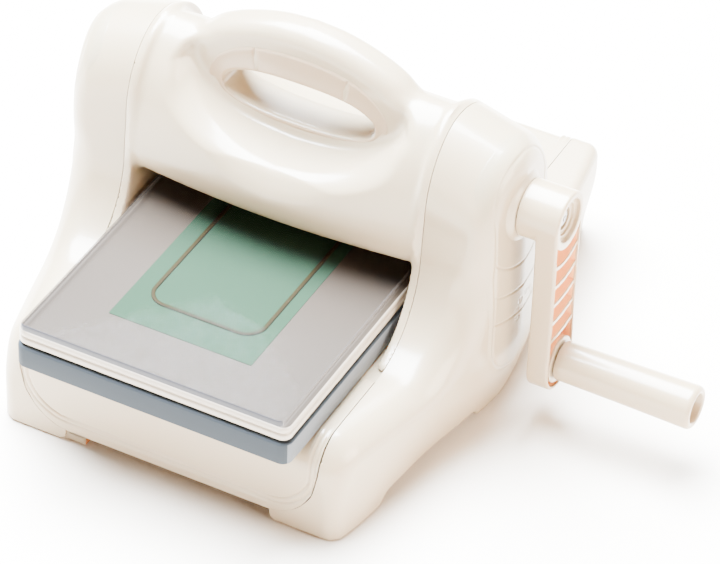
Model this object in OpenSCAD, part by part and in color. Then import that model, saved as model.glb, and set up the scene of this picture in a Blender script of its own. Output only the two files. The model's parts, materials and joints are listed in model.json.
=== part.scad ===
// Hand-cranked die cutting machine: two geared rollers pull a stack of plates through a bridge.
// X runs across the machine towards the crank, Y from front to back, Z up. The origin is on the table
// under the middle of the machine, and the plane Y = 0 holds both roller axes and the crank axis.

/* [Body] */
// Distance from the middle to each seam between centre and side cover
seam_x = 89; // [88.5:0.5:90]
// Distance from the middle to the face of the feet
half_len = 148; // [144:1:152]
// How much further the rear half of the housing reaches than the front half
rear_extra = 7; // [0:0.5:8]
// Height of the bed that the platform slides on
bed_z = 58.2; // [58:0.1:58.3]
// Height of the shoulder of the side covers
base_top = 60.5; // [60:0.5:62]
// Half the depth of a tower
tower_half = 36.5; // [35.5:0.5:38]
// Height of the tops of the towers
tower_top = 179; // [177:1:182]
// Distance from the middle to the outer face of a tower
side_out = 131; // [130.5:0.5:131]
// Wall thickness of the mouldings
wall = 2.6; // [2.2:0.1:2.8]

/* [Handle] */
// Half the width of the carrying handle
handle_half = 60; // [57:1:61]
// Height of the top of the carrying handle
handle_top = 201.5; // [198:0.5:204]
// Half the width of the finger hole
hole_half = 45; // [43:1:47]

/* [Rollers and gears] */
// Radius of both rollers
roller_r = 21.7; // [21:0.1:21.7]
// Height of the lower roller's axis
lower_z = 36.5; // [36.5]
// Height of the upper roller's axis
upper_z = 110; // [110]
// Height of the crank axis
crank_z = 134; // [134]
// Tooth module of all gears
gear_mod = 1.5; // [1.5]
// Teeth of the pinion on the crank shaft
pinion_teeth = 12; // [12]
// Teeth of the gear on each roller
roller_teeth = 20; // [20]
// Teeth of each idler
idler_teeth = 16; // [16]

/* [Crank] */
// Distance from the crank axis to the grip axis
crank_r = 94.3; // [90:0.1:96]
// Radius of the crank's hub
hub_r = 16; // [15.5:0.5:16.5]
// Length of the grip
grip_len = 79; // [70:0.5:80]
// Radius of the grip at its thickest
grip_r = 12.2; // [11.8:0.1:12.6]

/* [Plates] */
// Width of the platform
platform_w = 162; // [160:1:162]
// Width of the lower plate
lower_plate_w = 159; // [157:1:160]
// Width of the clear plate
upper_plate_w = 155; // [153:1:156]
// Length of the platform
platform_len = 228; // [220:1:235]
// Distance from the roller plane to the platform's front edge
platform_front = 165.5; // [160:0.5:168]

/* [Hidden] */
$fn = 64;
eps = 0.01;
gap = 0.3;
arc_n = 10;
cream = [0.95, 0.93, 0.89];
ivory = [0.93, 0.88, 0.80];
blue_grey = [0.58, 0.63, 0.68];
steel = [0.70, 0.71, 0.73];
dark_steel = [0.45, 0.46, 0.48];
nylon = [0.90, 0.90, 0.86];
bronze = [0.72, 0.55, 0.32];
black = [0.12, 0.12, 0.12];

// Heights of the stack, from the platform up
platform_z = bed_z + gap;
platform_t = 14.5;
lower_plate_z = platform_z + platform_t + 0.2;
lower_plate_t = 9.5;
card_z = lower_plate_z + lower_plate_t;
card_t = 0.3;
die_t = 0.9;
upper_plate_z = card_z + card_t + die_t;
upper_plate_t = 4;

// Feet and base
foot_z = 1;
foot_len = 36;
toe_in = 60;
toe_rise = 8;
apron_z = 7.6;
shoulder_r = 20;
front_out = 100;
arch_rise = 5;
column_half = 20;
pad_r = 8;
pad_h = 4;

// Tower shape
arch_h = 47;
flare_y = 84;
flare_z = 112;
tower_round = 20;

// Frame, all measured along X from the middle
plate_x = 90;
plate_t = 3;
gear_x = 95;
gear_w = 9;
outer_plate_x = 107.5;
journal_r = 6;
bush_r = 9;
drive_r = 5;
drive_bush_r = 8;
pin_r = 4;
run = 0.05;
rod_y = 25;
rod_top_z = 122;
rod_low_z = 18;
rod_r = 4;
screw_r = 2.4;

// The two idlers lie on a slant that keeps the pitch circles of all four gears touching
train_mid = (upper_z + lower_z) / 2;
roller_gear_r = gear_mod * roller_teeth / 2;
idler_r = gear_mod * idler_teeth / 2;
train_half = (upper_z - lower_z) / 2;
reach = roller_gear_r + idler_r;
slant = acos((idler_r * idler_r + train_half * train_half - reach * reach)
    / (2 * idler_r * train_half));
idler_a = [idler_r * sin(slant), train_mid + idler_r * cos(slant)];
idler_b = [-idler_r * sin(slant), train_mid - idler_r * cos(slant)];

// Crank
grip_z = crank_z - crank_r;
hub_x = 131;
arm_x = 142.3;
arm_t = 13;
crank_out = arm_x + arm_t;
arm_r = 15;
arm_low = 3;
grip_x = crank_out + 0.6;

// ---- Helpers ----

// Points on an arc about c from angle a0 to a1, with radii ru across and rv up
function arc(c, ru, rv, a0, a1) =
    [for (i = [0:arc_n]) let (a = a0 + (a1 - a0) * i / arc_n) [c[0] + ru * cos(a), c[1] + rv * sin(a)]];
function reversed(p) = [for (i = [len(p) - 1:-1:0]) p[i]];
function flipped(p) = [for (q = reversed(p)) [-q[0], q[1]]];
// A front half outline, from bottom to top, closed with its mirror image
function both_halves(p) = concat(p, flipped(p));

// The rear half of the housing is drawn longer: stretched over the tower, moved back beyond it
function rearward(y, extra = rear_extra) = y <= 0 ? y : y < tower_half ? y * (1 + extra / tower_half) : y + extra;
function longer(p) = [for (q = p) [rearward(q[0]), q[1]]];

// Extrudes a (Y, Z) outline along +X from x0
module along_x(x0, length) {
    translate([x0, 0, 0]) rotate([90, 0, 90]) linear_extrude(length) children();
}

// Extrudes an (X, Z) outline along +Y from y0
module along_y(y0, length) {
    translate([0, y0 + length, 0]) rotate([90, 0, 0]) linear_extrude(length) children();
}

// A round bar along +X
module bar(x0, length, at, r) {
    translate([x0, at[0], at[1]]) rotate([0, 90, 0]) cylinder(h = length, r = r);
}

module both_sides() {
    children();
    mirror([1, 0, 0]) children();
}

module rounded_rect(w, d, r) {
    translate([-w / 2 + r, -d / 2]) square([w - 2 * r, d]);
    translate([-w / 2, -d / 2 + r]) square([w, d - 2 * r]);
    for (sx = [-1, 1], sy = [-1, 1]) translate([sx * (w / 2 - r), sy * (d / 2 - r)]) circle(r);
}

// ---- Side covers ----

// Base of a side cover seen from the side, with all walls moved in by t
function base_half(t) = concat(
    [[-column_half, foot_z], [-column_half - 6, foot_z + arch_rise - 1],
     [-half_len / 2 + 8, foot_z + arch_rise], [-half_len + foot_len + 8, foot_z + arch_rise - 1],
     [-half_len + foot_len, foot_z], [-half_len + t, foot_z]],
    arc([-half_len + shoulder_r, base_top - shoulder_r], shoulder_r - t, shoulder_r - t, 180, 90));

// Tower with its flare, seen from the side, with all walls moved in by t
function tower_half_outline(t, low) = concat(
    [[-flare_y + t, low], [-flare_y + t, base_top - t]],
    arc([-flare_y, flare_z], flare_y - tower_half - 1 + t, flare_z - base_top + t, -90, 0),
    arc([0, tower_top - arch_h], tower_half - t, arch_h - t, 180, 90));

// Outer edge of a base seen from above: it swells towards the tower
function swell(y) = front_out + (side_out - front_out) * (1 - pow(abs(y) / half_len, 1.3));
function base_plan(t, x0) = concat(
    [for (i = [-arc_n:arc_n]) let (y = (half_len - 2) * i / arc_n) [swell(y) - t, rearward(y)]],
    [[front_out - 3 - t, rearward(half_len)], [x0, rearward(half_len)]],
    [[x0, -half_len], [front_out - 3 - t, -half_len]]);

// Outer edge of a base seen from the front: round at the shoulder and at the floor
function base_front(t, x0) = concat(
    [[x0, foot_z], [side_out - 10 - t, foot_z]],
    arc([side_out - 10 - t, foot_z + 22], 10, 22, -90, 0),
    arc([side_out - shoulder_r - t, base_top - 14], shoulder_r, 14 - t, 0, 90),
    [[x0, base_top - t]]);

// Tower seen from above and from the front
module tower_plan(t, x0) {
    w = 2 * (side_out - x0 - t);
    translate([x0, 0]) intersection() {
        translate([0, -flare_y]) square([w, 2 * flare_y + rear_extra]);
        translate([0, rear_extra / 2]) rounded_rect(w, 2 * (tower_half - t) + rear_extra, tower_round - t);
    }
}

function tower_front(t, x0) = concat(
    [[x0, foot_z], [side_out - 10 - t, foot_z]],
    arc([side_out - 10 - t, foot_z + 60], 10, 60, -90, 0),
    arc([side_out - 13 - t, tower_top - 21], 13, 13 - t, 0, 72),
    [[x0, tower_top - t]]);

// The flare between base and tower thins out towards the outer face
function flare_front(t, x0) = concat(
    [[x0, bed_z - 20], [side_out - 16 - t, bed_z - 20]],
    arc([side_out - 50 - t, bed_z], 34, 60, 0, 90),
    [[x0, bed_z + 60]]);

module side_solid(t, x0) {
    intersection() {
        along_x(x0, 60) polygon(longer(both_halves(base_half(t))));
        linear_extrude(base_top) polygon(base_plan(t, x0));
        along_y(-half_len, 2 * half_len + rear_extra) polygon(base_front(t, x0));
    }
    intersection() {
        along_x(x0, 60) polygon(longer(both_halves(tower_half_outline(t, foot_z))));
        linear_extrude(tower_top) tower_plan(t, x0);
        along_y(-flare_y, 2 * flare_y + rear_extra) polygon(tower_front(t, x0));
    }
    intersection() {
        along_x(x0, 60) polygon(longer(both_halves(tower_half_outline(t, bed_z - 20))));
        along_y(-flare_y, 2 * flare_y + rear_extra) polygon(flare_front(t, x0));
    }
}

// Part of a foot that wraps in under the apron: its outline seen from the front
function toe_outline(t) = concat(
    [[toe_in + t, foot_z], [toe_in + t, apron_z]],
    arc([toe_in + 2, apron_z + 30], seam_x - toe_in - 2 - t, 30 - t, -90, 0),
    [[seam_x, apron_z + 30], [seam_x, foot_z]]);

module toe(y0) {
    difference() {
        along_y(y0, foot_len) polygon(toe_outline(0));
        translate([toe_in + wall, y0 + wall, 0]) cube([seam_x - toe_in, foot_len - 2 * wall, pad_h + 0.2]);
    }
}

module side_cover() {
    difference() {
        side_solid(0, seam_x);
        translate([0, 0, -eps]) side_solid(wall, seam_x - eps);
    }
    for (y0 = [-half_len + 1, half_len + rear_extra - 1 - foot_len]) toe(y0);
}

module left_side_cover() {
    color(cream) mirror([1, 0, 0]) side_cover();
}

module right_side_cover() {
    color(cream) difference() {
        side_cover();
        bar(side_out - 10, 20, [0, crank_z], collar_r + run);
    }
}

// Long plate with round ends on the outer face of a tower
panel_half = 15.5;
panel_low = 46;
panel_high = 112;
panel_t = 0.8;
module panel_outline() {
    translate([-panel_half, panel_low]) square([2 * panel_half, panel_high - panel_low]);
    translate([0, panel_low]) circle(panel_half);
}

module side_panel() {
    difference() {
        along_x(side_out, panel_t) panel_outline();
        for (i = [0:3]) difference() {
            bar(side_out + panel_t / 2, panel_t, [0, crank_z], 34.5 + 16 * i);
            bar(side_out, 2 * panel_t, [0, crank_z], 33.5 + 16 * i);
        }
    }
}

module left_side_panel() { color(cream) mirror([1, 0, 0]) side_panel(); }
module right_side_panel() { color(cream) side_panel(); }

// Ring that carries the crank shaft through the right cover
collar_r = 15.8;
module crank_collar() {
    color(cream) difference() {
        bar(side_out - 8, 7.6, [0, crank_z], collar_r);
        bar(side_out - 9, 10, [0, crank_z], drive_r + 0.6);
    }
}

// ---- Centre covers ----

// Front half of the bed and apron: a bent sheet from the apron's foot to the roller slot
slot_half = 24;
function bed_line(t, extra) = [for (q = concat(
    [[-half_len + 0.5 + t, apron_z]],
    arc([-half_len + 0.5 + shoulder_r, bed_z - shoulder_r], shoulder_r - t, shoulder_r - t, 180, 90),
    [[-slot_half, bed_z - t]])) [-rearward(-q[0], extra), q[1]]];

rim_in = platform_w / 2 + 0.8;
module bed_cover(extra) {
    difference() {
        union() {
            along_x(-seam_x + gap, 2 * (seam_x - gap)) polygon(concat(bed_line(0, extra),
                reversed(bed_line(wall, extra))));
            both_sides() along_x(seam_x - gap - wall, wall) polygon(concat(bed_line(0, extra),
                [[-rearward(slot_half, extra), 30], [-half_len - extra + 0.5, 30]]));
        }
        both_sides() along_y(-half_len - extra - 1, foot_len + 4) polygon(concat(
            [[toe_in - gap, 0], [toe_in - gap, apron_z + gap]],
            arc([toe_in + 2, apron_z + 30], seam_x - toe_in - 2 - gap, 30 - gap, -90, 0),
            [[seam_x + 1, apron_z + 30], [seam_x + 1, 0]]));
    }
    // Posts that the pan is screwed to
    for (y = [pan_screw_y[0], pan_screw_y[1]], s = [-1, 1]) translate([s * pan_screw_x, y, 0]) difference() {
        translate([0, 0, pan_z + wall]) cylinder(h = bed_z - pan_z - 1.5 * wall, r = 2 * screw_r);
        cylinder(h = pan_z + 20, r = screw_r);
    }
    // Low walls beside the platform
    both_sides() along_x(rim_in, seam_x - gap - rim_in)
        polygon([[-half_len - extra + shoulder_r + 4, bed_z], [-half_len - extra + shoulder_r + 8, base_top],
            [-flare_y - extra - gap, base_top], [-flare_y - extra - gap, bed_z]]);
}

module front_bed_cover() { color(cream) bed_cover(0); }
module rear_bed_cover() { color(cream) mirror([0, 1, 0]) bed_cover(rear_extra); }

// Inner wall of a tower, with a rim that meets the side cover at the seam
cheek_x = 84;
function cheek_half(t) = concat(
    [[-flare_y, bed_z - 8]],
    arc([-flare_y, flare_z], flare_y - tower_half - 1 + t, flare_z - base_top + t, -90, 0),
    arc([0, tower_top - arch_h], tower_half - t, arch_h - t, 180, 90));

module cheek_area(t) {
    intersection() {
        polygon(longer(both_halves(cheek_half(t))));
        translate([-flare_y, bed_z + gap + t]) square([2 * flare_y + rear_extra, tower_top]);
    }
}

module cheek() {
    difference() {
        along_x(cheek_x, seam_x - gap - cheek_x) cheek_area(0);
        along_x(cheek_x + wall, seam_x) cheek_area(wall);
        bar(cheek_x - 1, 6, [0, upper_z], journal_r + 1);
        for (s = [-1, 1]) bar(cheek_x - 1, 6, [s * rod_y, rod_top_z], rod_r + 0.5);
    }
}

module left_cheek() { color(cream) mirror([1, 0, 0]) cheek(); }
module right_cheek() { color(cream) cheek(); }

// Front half of the bridge. It is tall beside the towers and low in the middle, where the hand goes.
bridge_x = cheek_x - gap;
dish_x = 63;
dish_floor = 140;
bridge_top = 166;
lip = [-27, 96];
function belly(t) = concat(
    [[lip[0], lip[1]], [lip[0] - 9 + t, lip[1] + 3]],
    arc([-36, 116], 11 - t, 12, 240, 160));
function low_bridge(t) = concat(belly(t), [[-38 + t, dish_floor - 4 - t], [-30, dish_floor - t], [0, dish_floor - t]]);
function tall_bridge(t) = concat(belly(t), arc([0, bridge_top - 33], 37 - t, 33 - t, 165, 90));

module bridge_cover() {
    along_x(-dish_x, 2 * dish_x) polygon(concat(low_bridge(0), reversed(low_bridge(wall))));
    both_sides() {
        along_x(dish_x, bridge_x - dish_x) polygon(concat(tall_bridge(0), reversed(tall_bridge(wall))));
        along_x(dish_x, wall) difference() {
            polygon(concat(tall_bridge(0), [[0, dish_floor - wall], [-30, dish_floor - wall]],
                [[-38, dish_floor - 4 - wall]]));
            circle(1);
        }
    }
}

module bridge_front_cover() { color(cream) bridge_cover(); }
module bridge_rear_cover() { color(cream) mirror([0, 1, 0]) bridge_cover(); }

// Arched carrying handle with a finger hole
handle_front = 10;
handle_depth = 24;
handle_low = dish_floor;
hole_low = 146;
hole_high = 169.5;
arch_drop = 17;
function arch_z(x) = handle_top - arch_drop * pow(abs(x) / handle_half, 2.6);
function handle_outline() = concat(
    [[-handle_half, handle_low]],
    [for (i = [-arc_n:arc_n]) let (x = handle_half * i / arc_n) [x, arch_z(x)]],
    [[handle_half, handle_low]]);
function oval(w, low, high) = [for (i = [0:4 * arc_n - 1]) let (a = 90 * i / arc_n, c = cos(a), s = sin(a))
    [w * sign(c) * pow(abs(c), 0.7), (low + high) / 2 + (high - low) / 2 * sign(s) * pow(abs(s), 0.8)]];

module carry_handle() {
    color(cream) along_y(-handle_front, handle_depth) difference() {
        polygon(handle_outline());
        polygon(oval(hole_half, hole_low, hole_high));
    }
}

// Ring that lines the front of the finger hole
insert_w = 9;
insert_t = 1.2;
module handle_insert() {
    color(cream) along_y(-handle_front - insert_t, insert_t) difference() {
        polygon(oval(hole_half + insert_w, handle_low + 0.5, 186));
        polygon(oval(hole_half, hole_low, hole_high));
        polygon(badge_outline(gap));
    }
}

badge_x = 3;
badge_w = 52;
badge_low = 171;
badge_high = 183.5;
function badge_outline(t) = [for (c = [[-1, -1], [1, -1], [1, 1], [-1, 1]])
    [badge_x + c[0] * (badge_w / 2 + t), (badge_low + badge_high) / 2 + c[1] * ((badge_high - badge_low) / 2 + t)]];
module handle_badge() {
    color(cream) along_y(-handle_front - insert_t, insert_t) polygon(badge_outline(0));
}

// Tray that closes the underside
pan_z = 10;
foot_y = [-half_len + foot_len / 2, half_len + rear_extra - foot_len / 2];
pan_screw_y = [-126, -60, 60, 126];
pan_screw_x = 50;
tab_x = 112;
module base_pan() {
    color(cream) difference() {
        union() {
            translate([0, rear_extra / 2, pan_z]) linear_extrude(wall)
                rounded_rect(2 * (seam_x - 4), 2 * half_len + rear_extra - 12, 6);
            for (y = [-95, -40, 40, 95]) translate([-seam_x + 8, y - 1, pan_z + wall]) cube([2 * seam_x - 16, 2, 9]);
            translate([-tab_x, -frame_half, pan_z]) cube([2 * tab_x, 2 * frame_half, wall]);
        }
        for (y = pan_screw_y, s = [-1, 1]) translate([s * pan_screw_x, y, pan_z - 1]) cylinder(h = 20, r = screw_r + 0.2);
        for (sx = [-1, 1], y = foot_y) translate([sx * (seam_x + toe_in - gap) / 2, y, pan_z])
            cube([seam_x - toe_in + gap, foot_len + 3, 20], center = true);
    }
}

module cover_screws() {
    color(steel) for (y = pan_screw_y, s = [-1, 1]) translate([s * pan_screw_x, y, pan_z - 2]) {
        cylinder(h = 2, r = 2 * screw_r);
        cylinder(h = 18, r = screw_r);
    }
}

module rubber_feet() {
    color(black) for (sx = [-1, 1], y = foot_y)
        translate([sx * (toe_in + 15), y, 0]) cylinder(h = pad_h + 0.2, r = pad_r);
}

// ---- Steel frame ----

frame_half = 31;
frame_low = pan_z + wall;
frame_high = 150;
module frame_outline() {
    translate([0, (frame_low + frame_high) / 2]) rounded_rect(2 * frame_half, frame_high - frame_low, 14);
}

module rod_places() {
    for (s = [-1, 1], z = [rod_low_z, rod_top_z]) translate([s * rod_y, z]) children();
}

module frame_plate_outline() {
    difference() {
        frame_outline();
        translate([0, upper_z]) circle(bush_r);
        translate([0, lower_z]) circle(bush_r);
        rod_places() circle(screw_r + 0.1);
    }
}

module left_frame_plate() {
    color(dark_steel) along_x(-plate_x - plate_t, plate_t) frame_plate_outline();
}

module drive_holes() {
    translate([0, crank_z]) circle(drive_bush_r);
    for (p = [idler_a, idler_b]) translate(p) circle(pin_r);
}

module right_frame_plate() {
    color(dark_steel) along_x(plate_x, plate_t) difference() {
        frame_plate_outline();
        drive_holes();
    }
}

module gear_plate() {
    color(dark_steel) along_x(outer_plate_x, plate_t) difference() {
        frame_outline();
        drive_holes();
        rod_places() circle(screw_r + 0.1);
    }
}

module gear_plate_posts() {
    color(steel) along_x(plate_x + plate_t, outer_plate_x - plate_x - plate_t) rod_places() difference() {
        circle(rod_r);
        circle(screw_r);
    }
}

module tie_rods() {
    color(steel) along_x(-plate_x, 2 * plate_x) rod_places() difference() {
        circle(rod_r);
        circle(screw_r);
    }
}

module screw_row(x_head, x_tip, way) {
    head = 3;
    rod_places_3d() {
        bar(min(x_head, x_head + way * head), head, [0, 0], 2 * screw_r);
        bar(min(x_head, x_tip), abs(x_tip - x_head), [0, 0], screw_r);
    }
}

module rod_places_3d() {
    for (s = [-1, 1], z = [rod_low_z, rod_top_z]) translate([0, s * rod_y, z]) children();
}

module frame_screws() {
    color(steel) screw_row(-plate_x - plate_t, -plate_x + 12, -1);
}

module gear_plate_screws() {
    color(steel) screw_row(outer_plate_x + plate_t, plate_x - 12, 1);
}

// Flanged bush in a plate, with its flange on the far side
module bush(x0, at, outer, inner) {
    difference() {
        union() {
            bar(x0, plate_t, at, outer);
            bar(x0 + plate_t, 1.2, at, outer + 2);
        }
        bar(x0 - 1, plate_t + 4, at, inner + run);
    }
}

module upper_right_bush() { color(bronze) bush(plate_x, [0, upper_z], bush_r, journal_r); }
module lower_right_bush() { color(bronze) bush(plate_x, [0, lower_z], bush_r, journal_r); }
module upper_left_bush() { color(bronze) mirror([1, 0, 0]) bush(plate_x, [0, upper_z], bush_r, journal_r); }
module lower_left_bush() { color(bronze) mirror([1, 0, 0]) bush(plate_x, [0, lower_z], bush_r, journal_r); }
module drive_bush_inner() { color(bronze) bush(plate_x, [0, crank_z], drive_bush_r, drive_r); }
module drive_bush_outer() { color(bronze) bush(outer_plate_x, [0, crank_z], drive_bush_r, drive_r); }

module idler_pin(at) { bar(plate_x, outer_plate_x + plate_t - plate_x, at, pin_r); }
module idler_pin_a() { color(steel) idler_pin(idler_a); }
module idler_pin_b() { color(steel) idler_pin(idler_b); }

// ---- Gears ----

// Involute teeth: angle that the flank has turned through at radius r, in degrees
pressure = 20;
backlash = 0.35;
function inv_deg(base, r) = let (t = sqrt(max(0, pow(r / base, 2) - 1))) t * 180 / PI - atan(t);
function tooth(teeth) =
    let (pitch = gear_mod * teeth / 2, base = pitch * cos(pressure), root = pitch - 1.2 * gear_mod,
        tip = pitch + 0.85 * gear_mod, start = max(base, root),
        half = 90 / teeth - backlash / 2 / pitch * 180 / PI + inv_deg(base, pitch),
        flank = [for (i = [0:4]) let (r = start + (tip - start) * i / 4) [r, half - inv_deg(base, r)]])
    concat([[root - 0.5, -half]], [for (q = flank) [q[0], -q[1]]], reversed(flank), [[root - 0.5, half]]);

module gear_outline(teeth, phase) {
    root = gear_mod * (teeth / 2 - 1.2);
    circle(root);
    for (i = [0:teeth - 1]) rotate(phase + 360 * i / teeth)
        polygon([for (q = tooth(teeth)) [q[0] * cos(q[1]), q[0] * sin(q[1])]]);
}

module gear(teeth, phase, at, bore) {
    along_x(gear_x, gear_w) translate(at) difference() {
        gear_outline(teeth, phase);
        circle(bore);
    }
}

// Phase of a gear so that it meshes with another, whose phase is p1, lying at angle a from it
function meshed(p1, z1, z2, a) = a + 180 + 180 / z2 - (p1 - a) * z1 / z2;
function heading(from, to) = atan2(to[1] - from[1], to[0] - from[0]);
upper_at = [0, upper_z];
lower_at = [0, lower_z];
upper_phase = 0;
pinion_phase = meshed(upper_phase, roller_teeth, pinion_teeth, 90);
a_phase = meshed(upper_phase, roller_teeth, idler_teeth, heading(upper_at, idler_a));
b_phase = meshed(a_phase, idler_teeth, idler_teeth, heading(idler_a, idler_b));
lower_phase = meshed(b_phase, idler_teeth, roller_teeth, heading(idler_b, lower_at));

module drive_pinion() { color(steel) gear(pinion_teeth, pinion_phase, [0, crank_z], drive_r); }
module upper_roller_gear() { color(nylon) gear(roller_teeth, upper_phase, upper_at, journal_r); }
module idler_gear_a() { color(nylon) gear(idler_teeth, a_phase, idler_a, pin_r + run); }
module idler_gear_b() { color(nylon) gear(idler_teeth, b_phase, idler_b, pin_r + run); }
module lower_roller_gear() { color(nylon) gear(roller_teeth, lower_phase, lower_at, journal_r); }

// ---- Rollers ----

roller_half = 81.5;
journal_left = 97;
module roller(at) {
    bar(-roller_half, 2 * roller_half, at, roller_r);
    bar(-journal_left, journal_left + gear_x + gear_w + 1, at, journal_r);
}

module ring(at) {
    difference() {
        bar(-journal_left + 0.8, 1.2, at, journal_r + 2.5);
        bar(-journal_left, 3, at, journal_r);
    }
}

module upper_roller() { color(steel) roller(upper_at); }
module lower_roller() { color(steel) roller(lower_at); }
module upper_retaining_ring() { color(dark_steel) ring(upper_at); }
module lower_retaining_ring() { color(dark_steel) ring(lower_at); }

// ---- Crank ----

shaft_end = 147;
module drive_shaft() {
    color(steel) difference() {
        bar(plate_x - 1, shaft_end - plate_x + 1, [0, crank_z], drive_r);
        bar(shaft_end - 10, 11, [0, crank_z], screw_r);
    }
}

// Outline of the arm, with its wall moved in by t
module arm_outline(t) {
    low = grip_z - arm_low;
    translate([0, low]) circle(arm_r - t);
    translate([-arm_r + t, low]) square([2 * (arm_r - t), crank_z - hub_r / 2 - low]);
}

rib_first = 29.5;
rib_step = 13.5;
pocket = 9.5;
module crank_arm() {
    color(ivory) difference() {
        union() {
            bar(hub_x, crank_out - hub_x, [0, crank_z], hub_r);
            along_x(arm_x, arm_t) arm_outline(0);
        }
        along_x(crank_out - pocket, pocket + 1) difference() {
            arm_outline(1.8);
            translate([0, crank_z]) circle(hub_r - 1);
            translate([0, grip_z]) circle(grip_r + 0.6);
            for (i = [0:3]) translate([0, crank_z]) difference() {
                circle(rib_first + i * rib_step + 0.7);
                circle(rib_first + i * rib_step - 0.7);
            }
        }
        bar(crank_out - 4, 5, [0, crank_z], 11.5);
        bar(shaft_end + 0.5, 20, [0, crank_z], 6.2);
        bar(hub_x - 1, 30, [0, crank_z], drive_r);
        bar(arm_x - 1, arm_t + 2, [0, grip_z], pin_r);
    }
}

washer_t = 1;
module crank_washer() {
    color(steel) difference() {
        bar(shaft_end + 0.5, washer_t, [0, crank_z], 5.8);
        bar(shaft_end, 3, [0, crank_z], screw_r + 0.1);
    }
}

module crank_screw() {
    color(steel) difference() {
        union() {
            bar(shaft_end + 0.5 + washer_t, 2.6, [0, crank_z], 4.3);
            bar(shaft_end - 8, 10, [0, crank_z], screw_r);
        }
        translate([shaft_end + 2.8 + washer_t, 0, crank_z]) {
            cube([1.4, 1, 5], center = true);
            cube([1.4, 5, 1], center = true);
        }
    }
}

// Hollow grip that turns on its axle
web_t = 12;
module grip() {
    color(ivory) translate([grip_x, 0, grip_z]) rotate([0, 90, 0]) rotate_extrude() polygon(concat(
        [[pin_r + run, 0], [grip_r - 1.6, 0], [grip_r - 0.6, 1]],
        [[grip_r, grip_len - 3]], arc([grip_r - 3, grip_len - 3], 3, 3, 0, 90),
        [[grip_r - 4, grip_len], [grip_r - 4.4, web_t], [pin_r + run, web_t]]));
}

module grip_axle() {
    color(steel) {
        bar(arm_x, grip_x - arm_x + web_t + 0.3, [0, grip_z], pin_r);
        bar(grip_x + web_t + 0.3, 3, [0, grip_z], 6.5);
        difference() {
            bar(crank_out, 0.5, [0, grip_z], pin_r + 3);
            bar(crank_out - 1, 5, [0, grip_z], pin_r);
        }
    }
}

// ---- Plates and paper ----

// A flat plate with round corners, whose front edge is front_y in front of the rollers
module plate(w, length, front_y, z0, t, r) {
    translate([0, -front_y + length / 2, z0]) linear_extrude(t) rounded_rect(w, length, r);
}

module base_platform() {
    color(blue_grey) plate(platform_w, platform_len, platform_front, platform_z, platform_t, 4);
}

module lower_plate() {
    color(cream) plate(lower_plate_w, platform_len - 4, platform_front - 1, lower_plate_z - 0.2,
        lower_plate_t + 0.2, 4);
}

card_w = 85;
card_len = 140;
card_front = 130;
card_x = -2.5;
module cardstock() {
    color([0.62, 0.80, 0.70]) translate([card_x, 0, 0])
        plate(card_w, card_len, card_front, card_z, card_t, 0.3);
}

die_w = 68;
die_len = 112;
die_front = 112;
die_r = 12;
die_line = 2.2;
module cutting_die() {
    color([0.68, 0.58, 0.32]) translate([card_x + 1.5, -die_front + die_len / 2, card_z + card_t])
        linear_extrude(die_t) difference() {
            rounded_rect(die_w, die_len, die_r);
            rounded_rect(die_w - 2 * die_line, die_len - 2 * die_line, die_r - die_line);
        }
}

module upper_plate() {
    color([0.82, 0.80, 0.79, 0.5]) plate(upper_plate_w, platform_len - 8, platform_front, upper_plate_z,
        upper_plate_t, 3.5);
}

base_pan();
front_bed_cover();
rear_bed_cover();
left_cheek();
right_cheek();
bridge_front_cover();
bridge_rear_cover();
carry_handle();
handle_insert();
handle_badge();
left_side_cover();
right_side_cover();
left_side_panel();
right_side_panel();
crank_collar();
left_frame_plate();
right_frame_plate();
gear_plate();
gear_plate_posts();
tie_rods();
frame_screws();
gear_plate_screws();
upper_left_bush();
upper_right_bush();
lower_left_bush();
lower_right_bush();
drive_bush_inner();
drive_bush_outer();
idler_pin_a();
idler_pin_b();
rubber_feet();
cover_screws();
upper_roller();
upper_roller_gear();
upper_retaining_ring();
lower_roller();
lower_roller_gear();
lower_retaining_ring();
idler_gear_a();
idler_gear_b();
drive_shaft();
drive_pinion();
crank_arm();
crank_screw();
crank_washer();
grip_axle();
grip();
base_platform();
lower_plate();
cardstock();
cutting_die();
upper_plate();
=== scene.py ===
import functools
import json
import math

import bpy
import numpy as np
from mathutils import Matrix, Vector


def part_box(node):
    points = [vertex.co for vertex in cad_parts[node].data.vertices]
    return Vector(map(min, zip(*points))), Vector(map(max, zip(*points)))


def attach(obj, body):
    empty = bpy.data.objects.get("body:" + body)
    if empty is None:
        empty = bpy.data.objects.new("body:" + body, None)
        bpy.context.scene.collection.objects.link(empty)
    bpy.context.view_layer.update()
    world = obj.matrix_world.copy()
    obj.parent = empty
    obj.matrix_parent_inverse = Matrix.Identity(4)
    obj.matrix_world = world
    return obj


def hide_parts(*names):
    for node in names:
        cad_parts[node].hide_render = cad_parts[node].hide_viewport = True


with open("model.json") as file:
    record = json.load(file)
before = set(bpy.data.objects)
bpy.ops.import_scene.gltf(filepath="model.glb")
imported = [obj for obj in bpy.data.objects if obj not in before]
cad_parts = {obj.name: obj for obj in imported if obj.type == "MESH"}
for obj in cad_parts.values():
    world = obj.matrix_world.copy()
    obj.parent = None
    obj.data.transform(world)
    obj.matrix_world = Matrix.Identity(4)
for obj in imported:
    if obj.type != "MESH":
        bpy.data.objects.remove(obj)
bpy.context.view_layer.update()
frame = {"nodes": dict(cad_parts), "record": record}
MM = 0.001

# ---- Sizes in mm, read from the CAD frame where the two have to agree ----


def cad(node):
    lo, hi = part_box(node)
    return [v / MM for v in lo], [v / MM for v in hi]


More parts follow.
